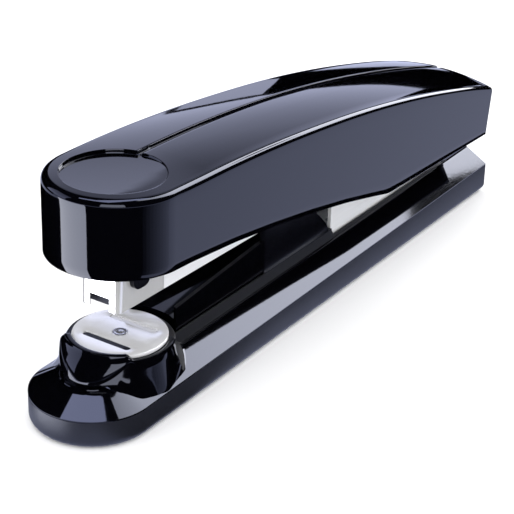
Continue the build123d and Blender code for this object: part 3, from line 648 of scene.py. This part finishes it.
def disc_ring(radius, height):
    turns = [math.tau * i / PLATE_POINTS for i in range(PLATE_POINTS)]
    return [place(PLATE_CENTRE + radius * math.cos(t), radius * math.sin(t), height) for t in turns]


print("points round a groove", len(stadium(0, 0, PLATE_TOP)))

# %% [markdown]
# The rim is six rings with a small round at the top. Each groove hangs from its own opening, and a
# fill of triangles joins the rim and both openings into the plate's flat face.

# %% Anvil plate: rim, grooves and face
plate = bmesh.new()
rims = [loop(plate, disc_ring(PLATE_RADIUS - inset, PLATE_TOP - sink)) for inset, sink in
        ((0.42, 0), (0.2, 0.05), (0.05, 0.18), (0, 0.4), (0, 1.0), (0.15, 1.2))]
for upper, lower in zip(rims, rims[1:]):
    join(plate, upper, lower)
plate.faces.new(rims[-1])
openings = [rims[0]]
for offset, depth in ((-GROOVE_OFFSET, 1.05), (GROOVE_OFFSET, 0.4)):
    walls = [loop(plate, stadium(offset, grow, PLATE_TOP - sink)) for grow, sink in
             ((0.14, 0), (0.04, 0.05), (0, 0.16), (-0.05, depth))]
    for upper, lower in zip(walls, walls[1:]):
        join(plate, upper, lower)
    plate.faces.new(walls[-1])
    openings.append(walls[0])
borders = [plate.edges.get((around[i], around[(i + 1) % len(around)]))
           for around in openings for i in range(len(around))]
bmesh.ops.triangle_fill(plate, use_beauty=True, use_dissolve=False, edges=borders)
add_piece("anvil_plate", plate, "anvil", "chrome", ["anvil_disc"])

# %% [markdown]
# The front groove's shade is painted: a thin black sheet lies in it, just above its floor, in place
# of the shade that a deep groove holds.

# %% Groove: painted shade
# painted shade: a black sheet just above the groove's floor stands in for the shade inside it
painted_shade_sheet = bmesh.new()
painted_shade_loops = [loop(painted_shade_sheet, stadium(-GROOVE_OFFSET, -0.06, PLATE_TOP - sink)) for sink in (0.34, 1.0)]
join(painted_shade_sheet, *painted_shade_loops)
for around in painted_shade_loops:
    painted_shade_sheet.faces.new(around)
add_piece("groove_liner", painted_shade_sheet, "anvil", "black_plastic", [])

# %% [markdown]
# The rivet that holds the plate is headed with a punch: a low ring with a small dome in its middle.

# %% Rivet
RIVET_PROFILE = [(0, 21.0), (1.5, 21.0), (1.5, 21.6), (2.25, 21.62), (2.32, 21.7), (2.2, 21.84), (1.9, 21.9),
                 (1.6, 21.84), (1.35, 21.74), (1.1, 21.76), (0.8, 21.86), (0.4, 21.92), (0, 21.93)]


RIVET_STEPS = 48


def turned(profile):
    """A profile of (radius, height) turned round the plate's centre."""
    rows = []
    for i in range(RIVET_STEPS):
        c, d = math.cos(math.tau * i / RIVET_STEPS), math.sin(math.tau * i / RIVET_STEPS)
        rows.append([place(PLATE_CENTRE + r * c, r * d, z) for r, z in profile])
    return ring(rows)


weld("rivet_head", [turned(RIVET_PROFILE)], "base", "steel", ["anvil_rivet"])

# %% [markdown]
# ## The springs
# A CAD spring can't shorten, but a drawn one can. The lift spring and the pusher spring are wound
# again as wire swept along a helix, with closed end turns. The ends are measured from the CAD springs,
# so they sit exactly in the same place.

# %% Springs: wire along a helix
STEPS_A_TURN = 24
WIRE_SIDES = 10
CLOSED_PITCH = 2.1      # an end turn lies against the next one


def node_box(name):
    thing = frame["nodes"][name]
    corners = [thing.matrix_world @ Vector(c) for c in thing.bound_box]
    return [Vector([pick(c[i] for c in corners) for i in range(3)]) for pick in (min, max)]


def coil_rows(start, end, radius, wire, turns):
    """Rings of points round the wire, one after another along the helix."""
    axis = (end - start).normalized()
    side = Vector((0, 1, 0))
    third = axis.cross(side)
    travel = (end - start).length - 2 * wire
    pitch = (travel - 2 * CLOSED_PITCH * wire) / (turns - 2)
    rows = []
    for step in range(turns * STEPS_A_TURN + 1):
        turn = step / STEPS_A_TURN
        closed = min(turn, 1) + max(turn - turns + 1, 0)
        along = wire + closed * CLOSED_PITCH * wire + (turn - closed) * pitch
        angle = math.tau * turn
        out = side * math.cos(angle) + third * math.sin(angle)
        rows.append([start + axis * (along + wire * math.sin(a)) + out * (radius + wire * math.cos(a))
                     for a in (math.tau * k / WIRE_SIDES for k in range(WIRE_SIDES))])
    return rows


low, high = node_box("lift_spring")
print("the lift spring stands", round((high.z - low.z) / MM, 2), "mm high")

# %% [markdown]
# It needs the spring's CAD node, its two ends, the coil's radius, the wire's thickness, the number of
# turns and the body it rides.

# %% Springs: wound
def coil_skin(name, node, start, end, radius, wire, turns, body):
    """A spring wound between two ends, riding a body and standing in for its CAD node."""
    rows = coil_rows(start, end, radius, wire, turns)
    patches = [[ring(row) for row in rows], [rows[0]], [rows[-1]]]
    thing = weld(name, patches, body, "spring_steel", [node])
    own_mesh(thing)


low, high = node_box("lift_spring")
middle = (low + high) / 2
coil_skin("lift_coil", "lift_spring", Vector((middle.x, 0, low.z)), Vector((middle.x, 0, high.z)),
          3.65 * MM, 0.55 * MM, 7, "base")
low, high = node_box("pusher_spring")
reach = (1.3 + 0.7) * MM
coil_skin("pusher_coil", "pusher_spring", Vector((low.x, 0, high.z - reach)), Vector((high.x, 0, low.z + reach)),
          1.65 * MM, 0.35 * MM, 24, "magazine")

# %% [markdown]
# ## Finishes
# Every finish is a small recipe of nodes. One class wraps a node's output so that a recipe reads as
# plain arithmetic; anything that isn't arithmetic goes through its one `node` method.

# %% Shader arithmetic
class Wire:
    """A value on its way between shader nodes. Arithmetic on it adds Math nodes."""

    def __init__(self, tree, socket=None):
        self.tree, self.socket = tree, socket

    def node(self, kind, settings=None, sockets=None, out=0):
        """A node of any type: its settings first, then values or wires for its sockets."""
        made = self.tree.nodes.new(kind)
        for key, value in (settings or {}).items():
            if key == "stops":
                ramp = made.color_ramp.elements
                while len(ramp) < len(value):
                    ramp.new(0.5)
                for stop, (position, colour) in zip(ramp, value):
                    stop.position, stop.color = position, colour
            else:
                setattr(made, key, value)
        for key, value in (sockets or {}).items():
            if isinstance(value, Wire):
                self.tree.links.new(value.socket, made.inputs[key])
            else:
                made.inputs[key].default_value = value
        return Wire(self.tree, made.outputs[out] if len(made.outputs) else None)

    def math(self, operation, *values):
        """A Math node on values or wires."""
        return self.node("ShaderNodeMath", {"operation": operation}, dict(enumerate(values)))

    def __add__(self, other):
        return self.math("ADD", self, other)

    def __sub__(self, other):
        return self.math("SUBTRACT", self, other)

    def __rsub__(self, other):
        return self.math("SUBTRACT", other, self)

    def __mul__(self, other):
        return self.math("MULTIPLY", self, other)

    __radd__, __rmul__ = __add__, __mul__

    def mix(self, first, second):
        """Between two colours, with this value as the share of the second."""
        return self.node("ShaderNodeMix", {"data_type": "RGBA"}, {0: self, 6: first, 7: second}, out=2)


def new_material(name):
    material = bpy.data.materials.new(name)
    material.use_nodes = True
    material.node_tree.nodes.clear()
    return material, Wire(material.node_tree)


print("a wire can be added, subtracted, multiplied and used to mix two colours")

# %% [markdown]
# All the moulded and metal surfaces share one build-up. A broad noise shifts the colour and the
# gloss, as handling and moulding do; a fine noise, stretched along the grain of rolled or brushed
# metal, gives the surface its bump and scratches; and the convex edges, where fingers and neighbours
# rub, are a little lighter and duller.

# %% Surface recipe
RUB_FROM, RUB_TO = 0.52, 0.62       # pointiness where wear begins and where it is full
GRAIN_DEPTH = 0.0002
finishes = {}


def surface(name, dark, light, rough, swing, grain, stretch, bump, metal=0.0, tint=(1, 1, 1, 1), wear=0.5,
            patch=60.0):
    material, wire = new_material(name)
    where = wire.node("ShaderNodeTexCoord", out="Object")
    along = wire.node("ShaderNodeMapping", {}, {"Vector": where, "Scale": stretch})
    broad = wire.node("ShaderNodeTexNoise", {}, {"Vector": where, "Scale": patch, "Detail": 3.0})
    fine = wire.node("ShaderNodeTexNoise", {}, {"Vector": along, "Scale": grain, "Detail": 4.0})
    bend = wire.node("ShaderNodeNewGeometry", out="Pointiness")
    edge = wire.node("ShaderNodeMapRange", {}, {"Value": bend, "From Min": RUB_FROM, "From Max": RUB_TO}) * wear
    colour = (broad * 0.6 + fine * 0.4).mix((*dark, 1), (*light, 1))
    worn = (edge * fine).mix(colour, tuple(min(1.6 * c + 0.001, 1) for c in light) + (1,))
    gloss = (broad - 0.5) * swing + (fine - 0.5) * (swing * 0.6) + edge * 0.08 + rough
    relief = wire.node("ShaderNodeBump", {}, {"Height": fine, "Strength": bump, "Distance": GRAIN_DEPTH})
    shader = wire.node("ShaderNodeBsdfPrincipled", {}, {
        "Base Color": worn, "Roughness": gloss, "Metallic": metal, "Normal": relief, "Specular Tint": tint})
    wire.node("ShaderNodeOutputMaterial", {}, {"Surface": shader})
    finishes[name] = material
    print("finish", name)


# %% [markdown]
# The moulded skins are black with a trace of navy, polished like a mirror, so nearly all that is seen
# on them is reflection. The inner mouldings are the same plastic straight from the tool, less shiny.
# The boot is a softer, matt plastic with a fine grain.

# %% Finishes: plastics
INK = (0.80, 0.84, 1.0, 1)
NO_GRAIN = (1, 1, 1)
surface("gloss_black", (0.0005, 0.0005, 0.0010), (0.0010, 0.0010, 0.0020), 0.045, 0.03, 900.0, NO_GRAIN, 0.008,
        tint=INK, wear=0.15)
surface("black_plastic", (0.0010, 0.0010, 0.0020), (0.0020, 0.0020, 0.0036), 0.12, 0.06, 1400.0, NO_GRAIN, 0.05,
        tint=INK, wear=0.3)
surface("boot", (0.0062, 0.0070, 0.0125), (0.0095, 0.0103, 0.0170), 0.46, 0.10, 2600.0, NO_GRAIN, 0.22,
        tint=INK, wear=0.3)

# %% [markdown]
# The plated metals are seen: nickel plate on the anvil and the nose guard, bright strip on the
# magazine. A plate this pale in a white room reads as a light colour with a soft sheen, so these are
# only partly metallic; a full metal would mirror the black boards and turn dark.

# %% Finishes: plated metals
surface("chrome", (0.82, 0.82, 0.84), (0.90, 0.90, 0.92), 0.20, 0.06, 700.0, (0.15, 1, 1), 0.03,
        metal=0.35, wear=0.5)
surface("bright_steel", (0.80, 0.80, 0.81), (0.90, 0.90, 0.91), 0.28, 0.08, 900.0, (0.08, 1, 1), 0.05,
        metal=0.15, wear=0.5)
surface("steel", (0.76, 0.77, 0.78), (0.88, 0.89, 0.90), 0.30, 0.12, 900.0, (0.08, 1, 1), 0.08,
        metal=0.25, wear=0.6)
surface("guard_plate", (0.84, 0.84, 0.85), (0.92, 0.92, 0.93), 0.15, 0.05, 700.0, (1, 1, 0.15), 0.03,
        metal=0.58, wear=0.3)

# %% [markdown]
# The working steels are inside: frame, pins, springs, screws, staples and blade. Each differs in how
# bright it is and which way its grain runs, along the drawn wire or up the ground blade.

# %% Finishes: working steels
surface("frame_steel", (0.42, 0.43, 0.45), (0.55, 0.56, 0.58), 0.38, 0.12, 800.0, (0.1, 1, 1), 0.1,
        metal=0.85, wear=0.6)
surface("pin_steel", (0.55, 0.55, 0.57), (0.68, 0.68, 0.70), 0.25, 0.10, 1200.0, (1, 0.1, 1), 0.06,
        metal=0.9, wear=0.6)
surface("spring_steel", (0.38, 0.38, 0.40), (0.52, 0.52, 0.54), 0.30, 0.10, 1600.0, NO_GRAIN, 0.06,
        metal=0.95, wear=0.5)
surface("screw_steel", (0.30, 0.30, 0.32), (0.45, 0.45, 0.47), 0.35, 0.12, 1800.0, NO_GRAIN, 0.12,
        metal=0.9, wear=0.8)
surface("staple_wire", (0.60, 0.60, 0.62), (0.78, 0.78, 0.79), 0.26, 0.10, 2200.0, (1, 0.1, 0.1), 0.15,
        metal=0.9, wear=0.5)
surface("blade_steel", (0.40, 0.40, 0.43), (0.54, 0.54, 0.57), 0.24, 0.10, 1500.0, (1, 1, 0.1), 0.08,
        metal=0.95, wear=0.6)

# %% [markdown]
# Two finishes are for places that hardly shine: the blackened rail that the staples ride on, and the
# matt lips along the channel of the deck.

# %% Finishes: rail and lips
surface("rail_black", (0.004, 0.004, 0.006), (0.010, 0.010, 0.013), 0.42, 0.12, 1200.0, (0.1, 1, 1), 0.15,
        tint=(0.25, 0.27, 0.36, 1), wear=0.4)
surface("lip_matt", (0.0015, 0.0015, 0.0025), (0.0030, 0.0030, 0.0048), 0.55, 0.10, 2400.0, NO_GRAIN, 0.25,
        wear=0.1)

# %% [markdown]
# The record says which finish each CAD piece has, and every remade skin carries its own. Three pieces
# then get a finish of their own: the guard, the rail and the rivet's head.

# %% Dress every piece
def dress(thing, finish):
    thing.data.materials.clear()
    thing.data.materials.append(finishes[finish])


slot_of = {part["node"]: part["material_slot"] for part in frame["record"]["subparts"]}
for node, thing in frame["nodes"].items():
    dress(thing, slot_of[node])
for thing in bpy.data.objects:
    if thing.type == "MESH" and "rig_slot" in thing and not thing.data.materials:
        dress(thing, thing["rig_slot"])
dress(frame["nodes"]["nose_guard"], "guard_plate")
dress(frame["nodes"]["staple_rail"], "rail_black")
dress(bpy.data.objects["rivet_head"], "pin_steel")
print("dressed", len(slot_of), "nodes")

# %% [markdown]
# The lips and the heel of the pod are part of the deck's skin but duller than it, so their faces get
# the matt finish. They are picked by where they lie: along the channel above the shoulder, and behind
# the pod above the slope.

# %% Matt lips and heel
LIP_FLOOR = 13.95
HEEL_START, HEEL_REACH, HEEL_RISE = 39.5, 20, 0.6
deck_skin.data.materials.append(finishes["lip_matt"])
matt_faces = 0
for face in deck_skin.data.polygons:
    station, side, height = face.center.x / MM + BASE_LENGTH / 2, abs(face.center.y / MM), face.center.z / MM
    lip = 42.3 < station < CHANNEL_END + 0.5 and LIP_INNER - 0.1 < side < LIP_OUTER + 0.1 and height > LIP_FLOOR
    behind = station > HEEL_START and math.hypot(station - POD, side) < HEEL_REACH
    heel = behind and height > slope_height(station, side) + HEEL_RISE
    if lip or heel:
        face.material_index = 1
        matt_faces += 1
print("matt faces", matt_faces)

# %% [markdown]
# Bent sheet and moulded parts never have knife edges. A narrow bevel on the plain pieces lets every
# corner catch a thin line of light, as the real ones do.

# %% Softened corners
CORNERS = {"nose_guard": 0.3, "hinge_bracket": 0.3, "spring_housing": 0.5, "magazine_trough": 0.25,
           "base_tray": 0.25, "cover_frame": 0.25, "pusher": 0.2, "nose_saddle": 0.3,
           "magazine_channel": 0.15, "rod_anchor": 0.2}
CORNER_ANGLE = math.radians(40)
for node, width in CORNERS.items():
    bevel = frame["nodes"][node].modifiers.new("corner", "BEVEL")
    bevel.width, bevel.segments, bevel.limit_method = width * MM, 2, "ANGLE"
    bevel.angle_limit, bevel.use_clamp_overlap = CORNER_ANGLE, True
print("softened", len(CORNERS), "pieces")

# %% [markdown]
# ## The studio
# The camera looks down on the nose from the near left. A long lens a good half metre away keeps the
# long sides nearly parallel.

# %% Camera
AZIMUTH, ELEVATION, ROLL = (math.radians(a) for a in (-56.7432, 26.9335, 1.5696))
AIM = Vector((-9.137, 0.992, 16.032)) * MM
DISTANCE = 574.398 * MM
SENSOR = 36.0
LENS = 126.07


def camera_axes():
    back = Vector((math.sin(AZIMUTH) * math.cos(ELEVATION), -math.cos(AZIMUTH) * math.cos(ELEVATION),
                   math.sin(ELEVATION)))
    side = Vector((math.cos(AZIMUTH), math.sin(AZIMUTH), 0))
    upward = back.cross(side)
    c, s = math.cos(ROLL), math.sin(ROLL)
    return side * c + upward * s, upward * c - side * s, back


lens = bpy.data.cameras.new("camera")
lens.sensor_width, lens.lens, lens.clip_start = SENSOR, LENS, 0.01
camera = bpy.data.objects.new("camera", lens)
axes = Matrix(camera_axes()).transposed().to_4x4()
axes.translation = AIM + camera_axes()[2] * DISTANCE
camera.matrix_world = axes
bpy.context.scene.collection.objects.link(camera)
bpy.context.scene.camera = camera
bpy.context.scene.view_settings.view_transform = "Standard"
print("camera at", camera.matrix_world.translation)

# %% [markdown]
# A white floor and a white sky give the even, shadowless light of a product table. The sky lights the
# matt surfaces only. What the polished skins mirror is set apart from it, with cards that only
# reflections see: light boxes and black boards around the table, as is usual for anything glossy.

# %% Floor and sky
FLOOR_HALF = 4
SKY_STRENGTH = 1.7


def square(height):
    """The corners of a square as wide as the floor."""
    return [(x * FLOOR_HALF, y * FLOOR_HALF, height) for x, y in ((-1, -1), (1, -1), (1, 1), (-1, 1))]


def sheet(name, corners, material):
    mesh = bpy.data.meshes.new(name)
    mesh.from_pydata([tuple(c) for c in corners], [], [list(range(len(corners)))])
    mesh.materials.append(material)
    thing = bpy.data.objects.new(name, mesh)
    bpy.context.scene.collection.objects.link(thing)
    return thing


white, wire = new_material("table_white")
paint = wire.node("ShaderNodeBsdfDiffuse", {}, {"Color": (0.92, 0.92, 0.93, 1)})
wire.node("ShaderNodeOutputMaterial", {}, {"Surface": paint})
floor = sheet("floor", square(0), white)
floor.visible_glossy = False

world = bpy.data.worlds.new("studio")
bpy.context.scene.world = world
world.use_nodes = True
sky = world.node_tree.nodes["Background"].inputs
sky["Color"].default_value = (1, 1, 1, 1)
sky["Strength"].default_value = SKY_STRENGTH
world.cycles_visibility.glossy = False
print("sky strength", SKY_STRENGTH, "floor", 2 * FLOOR_HALF, "m wide")

# %% [markdown]
# A card is a flat shape that gives off light and shows only in reflections. Its light may change with
# height, which gives a polished surface the slow fade from bright to dark that a soft box does.

# %% Cards: a light that fades
COOL = (0.70, 0.74, 1.0)
FLOOR_TINT = (0.68, 0.73, 1.0)
NEAR_WHITE = (0.93, 0.94, 1.0)


def glow(name, stops, low, high, tint=COOL):
    """A light that changes with height: (share of the way up, radiance) between two heights."""
    material, wire = new_material(name)
    peak = max(value for _, value in stops)
    where = wire.node("ShaderNodeTexCoord", out="Object")
    height = wire.node("ShaderNodeSeparateXYZ", {}, {0: where}, out="Z")
    share = wire.node("ShaderNodeMapRange", {}, {"Value": height, "From Min": low, "From Max": high})
    colours = [(position, tuple(value / peak * t for t in tint) + (1,)) for position, value in stops]
    shade = wire.node("ShaderNodeValToRGB", {"stops": colours}, {0: share})
    light = wire.node("ShaderNodeEmission", {}, {"Color": shade, "Strength": peak})
    wire.node("ShaderNodeOutputMaterial", {}, {"Surface": light})
    return material


def even_light(name, strength, tint=NEAR_WHITE):
    """A light of one strength all over."""
    return glow(name, [(0, strength), (1, strength)], 0, 1, tint)


cards = []


def card(name, corners, material):
    thing = sheet(name, corners, material)
    thing.visible_camera = thing.visible_diffuse = thing.visible_shadow = False
    cards.append(name)


dark = glow("dark_board", [(0, 0.0), (1, 0.001)], 0, 1)
slate = glow("slate_board", [(0, 0.75), (1, 1.3)], 0, 0.11)
print("lights ready:", dark.name, slate.name)

# %% [markdown]
# What the roof, its edges and the deck's slope mirror is high up and far off, so these cards are
# placed by direction: an azimuth from the rear and an elevation, as seen from the stapler. A dark
# notch in front of the tall box ends the light on the slope.

# %% Cards: boxes around the sky
SKY_REACH = 2.5


def toward(azimuth, elevation, reach=SKY_REACH):
    """The point at a distance in a direction from the middle of the table."""
    a, e = math.radians(azimuth), math.radians(elevation)
    return Vector((math.cos(a) * math.cos(e), math.sin(a) * math.cos(e), math.sin(e))) * reach


def sky_card(name, directions, stops, tint=NEAR_WHITE):
    corners = [toward(*d) for d in directions]
    heights = [c.z for c in corners]
    card(name, corners, glow(name, stops, min(heights), max(heights), tint))


sky_card("rear_glow", [(13, 8), (44, 8), (50, 42), (13, 42)],
         [(0, 1.9), (0.2, 1.6), (0.42, 1.25), (0.62, 0.62), (1, 0.5)], COOL)
sky_card("far_soft", [(98, 4), (140, 4), (140, 40), (98, 40)], [(0, 2.2), (1, 1.0)], COOL)
sky_card("tall_box", [(-11, 7), (9, 7), (2, 42), (-8, 60), (-40, 74), (-64, 69), (-42, 45), (-33, 26)],
         [(0, 9.0), (0.6, 8.5), (0.8, 6.5), (1, 5)])
sky_card("front_card", [(-165, 6), (-128, 6), (-128, 38), (-165, 38)], [(0, 3.6), (1, 3.6)])
card("top_box", [(x, y, 2.4) for x, y in ((-0.9, -0.33), (1.4, -0.33), (1.4, 0.55), (-0.2, 0.55), (-0.45, 1.15),
                                          (-0.95, 1.15))], glow("top_box", [(0, 5.5), (1, 5.5)], 0, 3))
card("box_notch", [toward(*d, 1.6) for d in ((-18.5, 29), (-10.5, 29), (-10.5, 34.9), (-18.5, 35.3))], dark)
print("cards so far", len(cards))

# %% [markdown]
# Towards the rear the roof tips down and mirrors what stands low behind the stapler. Low boards stand
# round the table there: black, with one slate stretch at the far rear.

# %% Cards: boards on the horizon
BOARDS = 12
BOARD_REACH, BOARD_LOW, BOARD_HIGH = 0.5, 0.0005, 0.115


def wall(name, start, end, material):
    """Boards standing around the table between two directions."""
    edges = spread(start, end, BOARDS)
    low, high = Vector((0, 0, BOARD_LOW)), Vector((0, 0, BOARD_HIGH))
    for i, (a, b) in enumerate(zip(edges, edges[1:])):
        p, q = toward(a, 0, BOARD_REACH), toward(b, 0, BOARD_REACH)
        card(f"{name}_{i}", [p + low, q + low, q + high, p + high], material)


wall("horizon_dark", -48, 33.5, dark)
wall("horizon_slate", 33.5, 52, slate)
wall("horizon_far", 52, 125, dark)
print("cards so far", len(cards))

# %% [markdown]
# The cover's upright walls mirror the table. Wedges laid on it, fanned out from the nose, become the
# upright bands of light and dark on the cover's round nose, and a row of them in small steps becomes
# the soft change to the long side.

# %% Cards: wedges on the table
WEDGE_HEIGHT = 0.5
FADE_STEPS, FADE_START, FADE_WIDTH = 8, 60, 3


def floor_ray(angle, heading, reach):
    """A point on the table: out from the nose at an angle, then along a heading."""
    a, h = math.radians(angle), math.radians(heading)
    start = place(NOSE_CENTRE - COVER_HALF * math.cos(a), -COVER_HALF * math.sin(a), WEDGE_HEIGHT)
    return start + Vector((math.cos(h), math.sin(h), 0)) * reach


def floor_card(name, first, second, material, near=0.02, far=0.6):
    """A wedge of the table between two rays; an angle around the nose mirrors into twice the turn."""
    (a, b), (c, d) = [(angle, 140 + 2 * angle) for angle in (first, second)]
    card(name, [floor_ray(a, b, near), floor_ray(a, b, far), floor_ray(c, d, far), floor_ray(c, d, near)], material)


floor_card("floor_dark_back", -57, -38, dark, 0.08, 0.17)
floor_card("floor_dark_left", -38, -8, dark, 0.02, 0.20)
floor_card("floor_strip", -8, 16, even_light("floor_strip", 6.5))
floor_card("floor_dark_front", 16, 40, dark)
floor_card("floor_dark_right", 40, 60, dark)
for step in range(FADE_STEPS):
    start = FADE_START + FADE_WIDTH * step
    light = even_light(f"fade_{step}", 0.12 * step + 0.08, FLOOR_TINT)
    floor_card(f"floor_fade_{step}", start, start + FADE_WIDTH, light, 0.06)
print("cards so far", len(cards))

# %% [markdown]
# The low upright sides mirror the table close beside the base, so a dark strip lies there. Under
# everything lies a dim, tinted sheet, which polished surfaces see in place of the white floor itself.

# %% Cards: the table beside and below
STRIP_EDGE = ((-0.125, -0.066), (-0.02, -0.064), (0.03, -0.052), (0.09, -0.038), (0.25, -0.032),
              (0.25, -0.0265), (-0.02, -0.0245), (-0.07, -0.019), (-0.125, -0.019))
card("floor_dark_side", [(x, y, 0.0008) for x, y in STRIP_EDGE], dark)
card("floor_mirror", square(0.0001), glow("floor_mirror", [(0, 1.15), (1, 1.15)], -1, 1, FLOOR_TINT))
print("cards", len(cards))
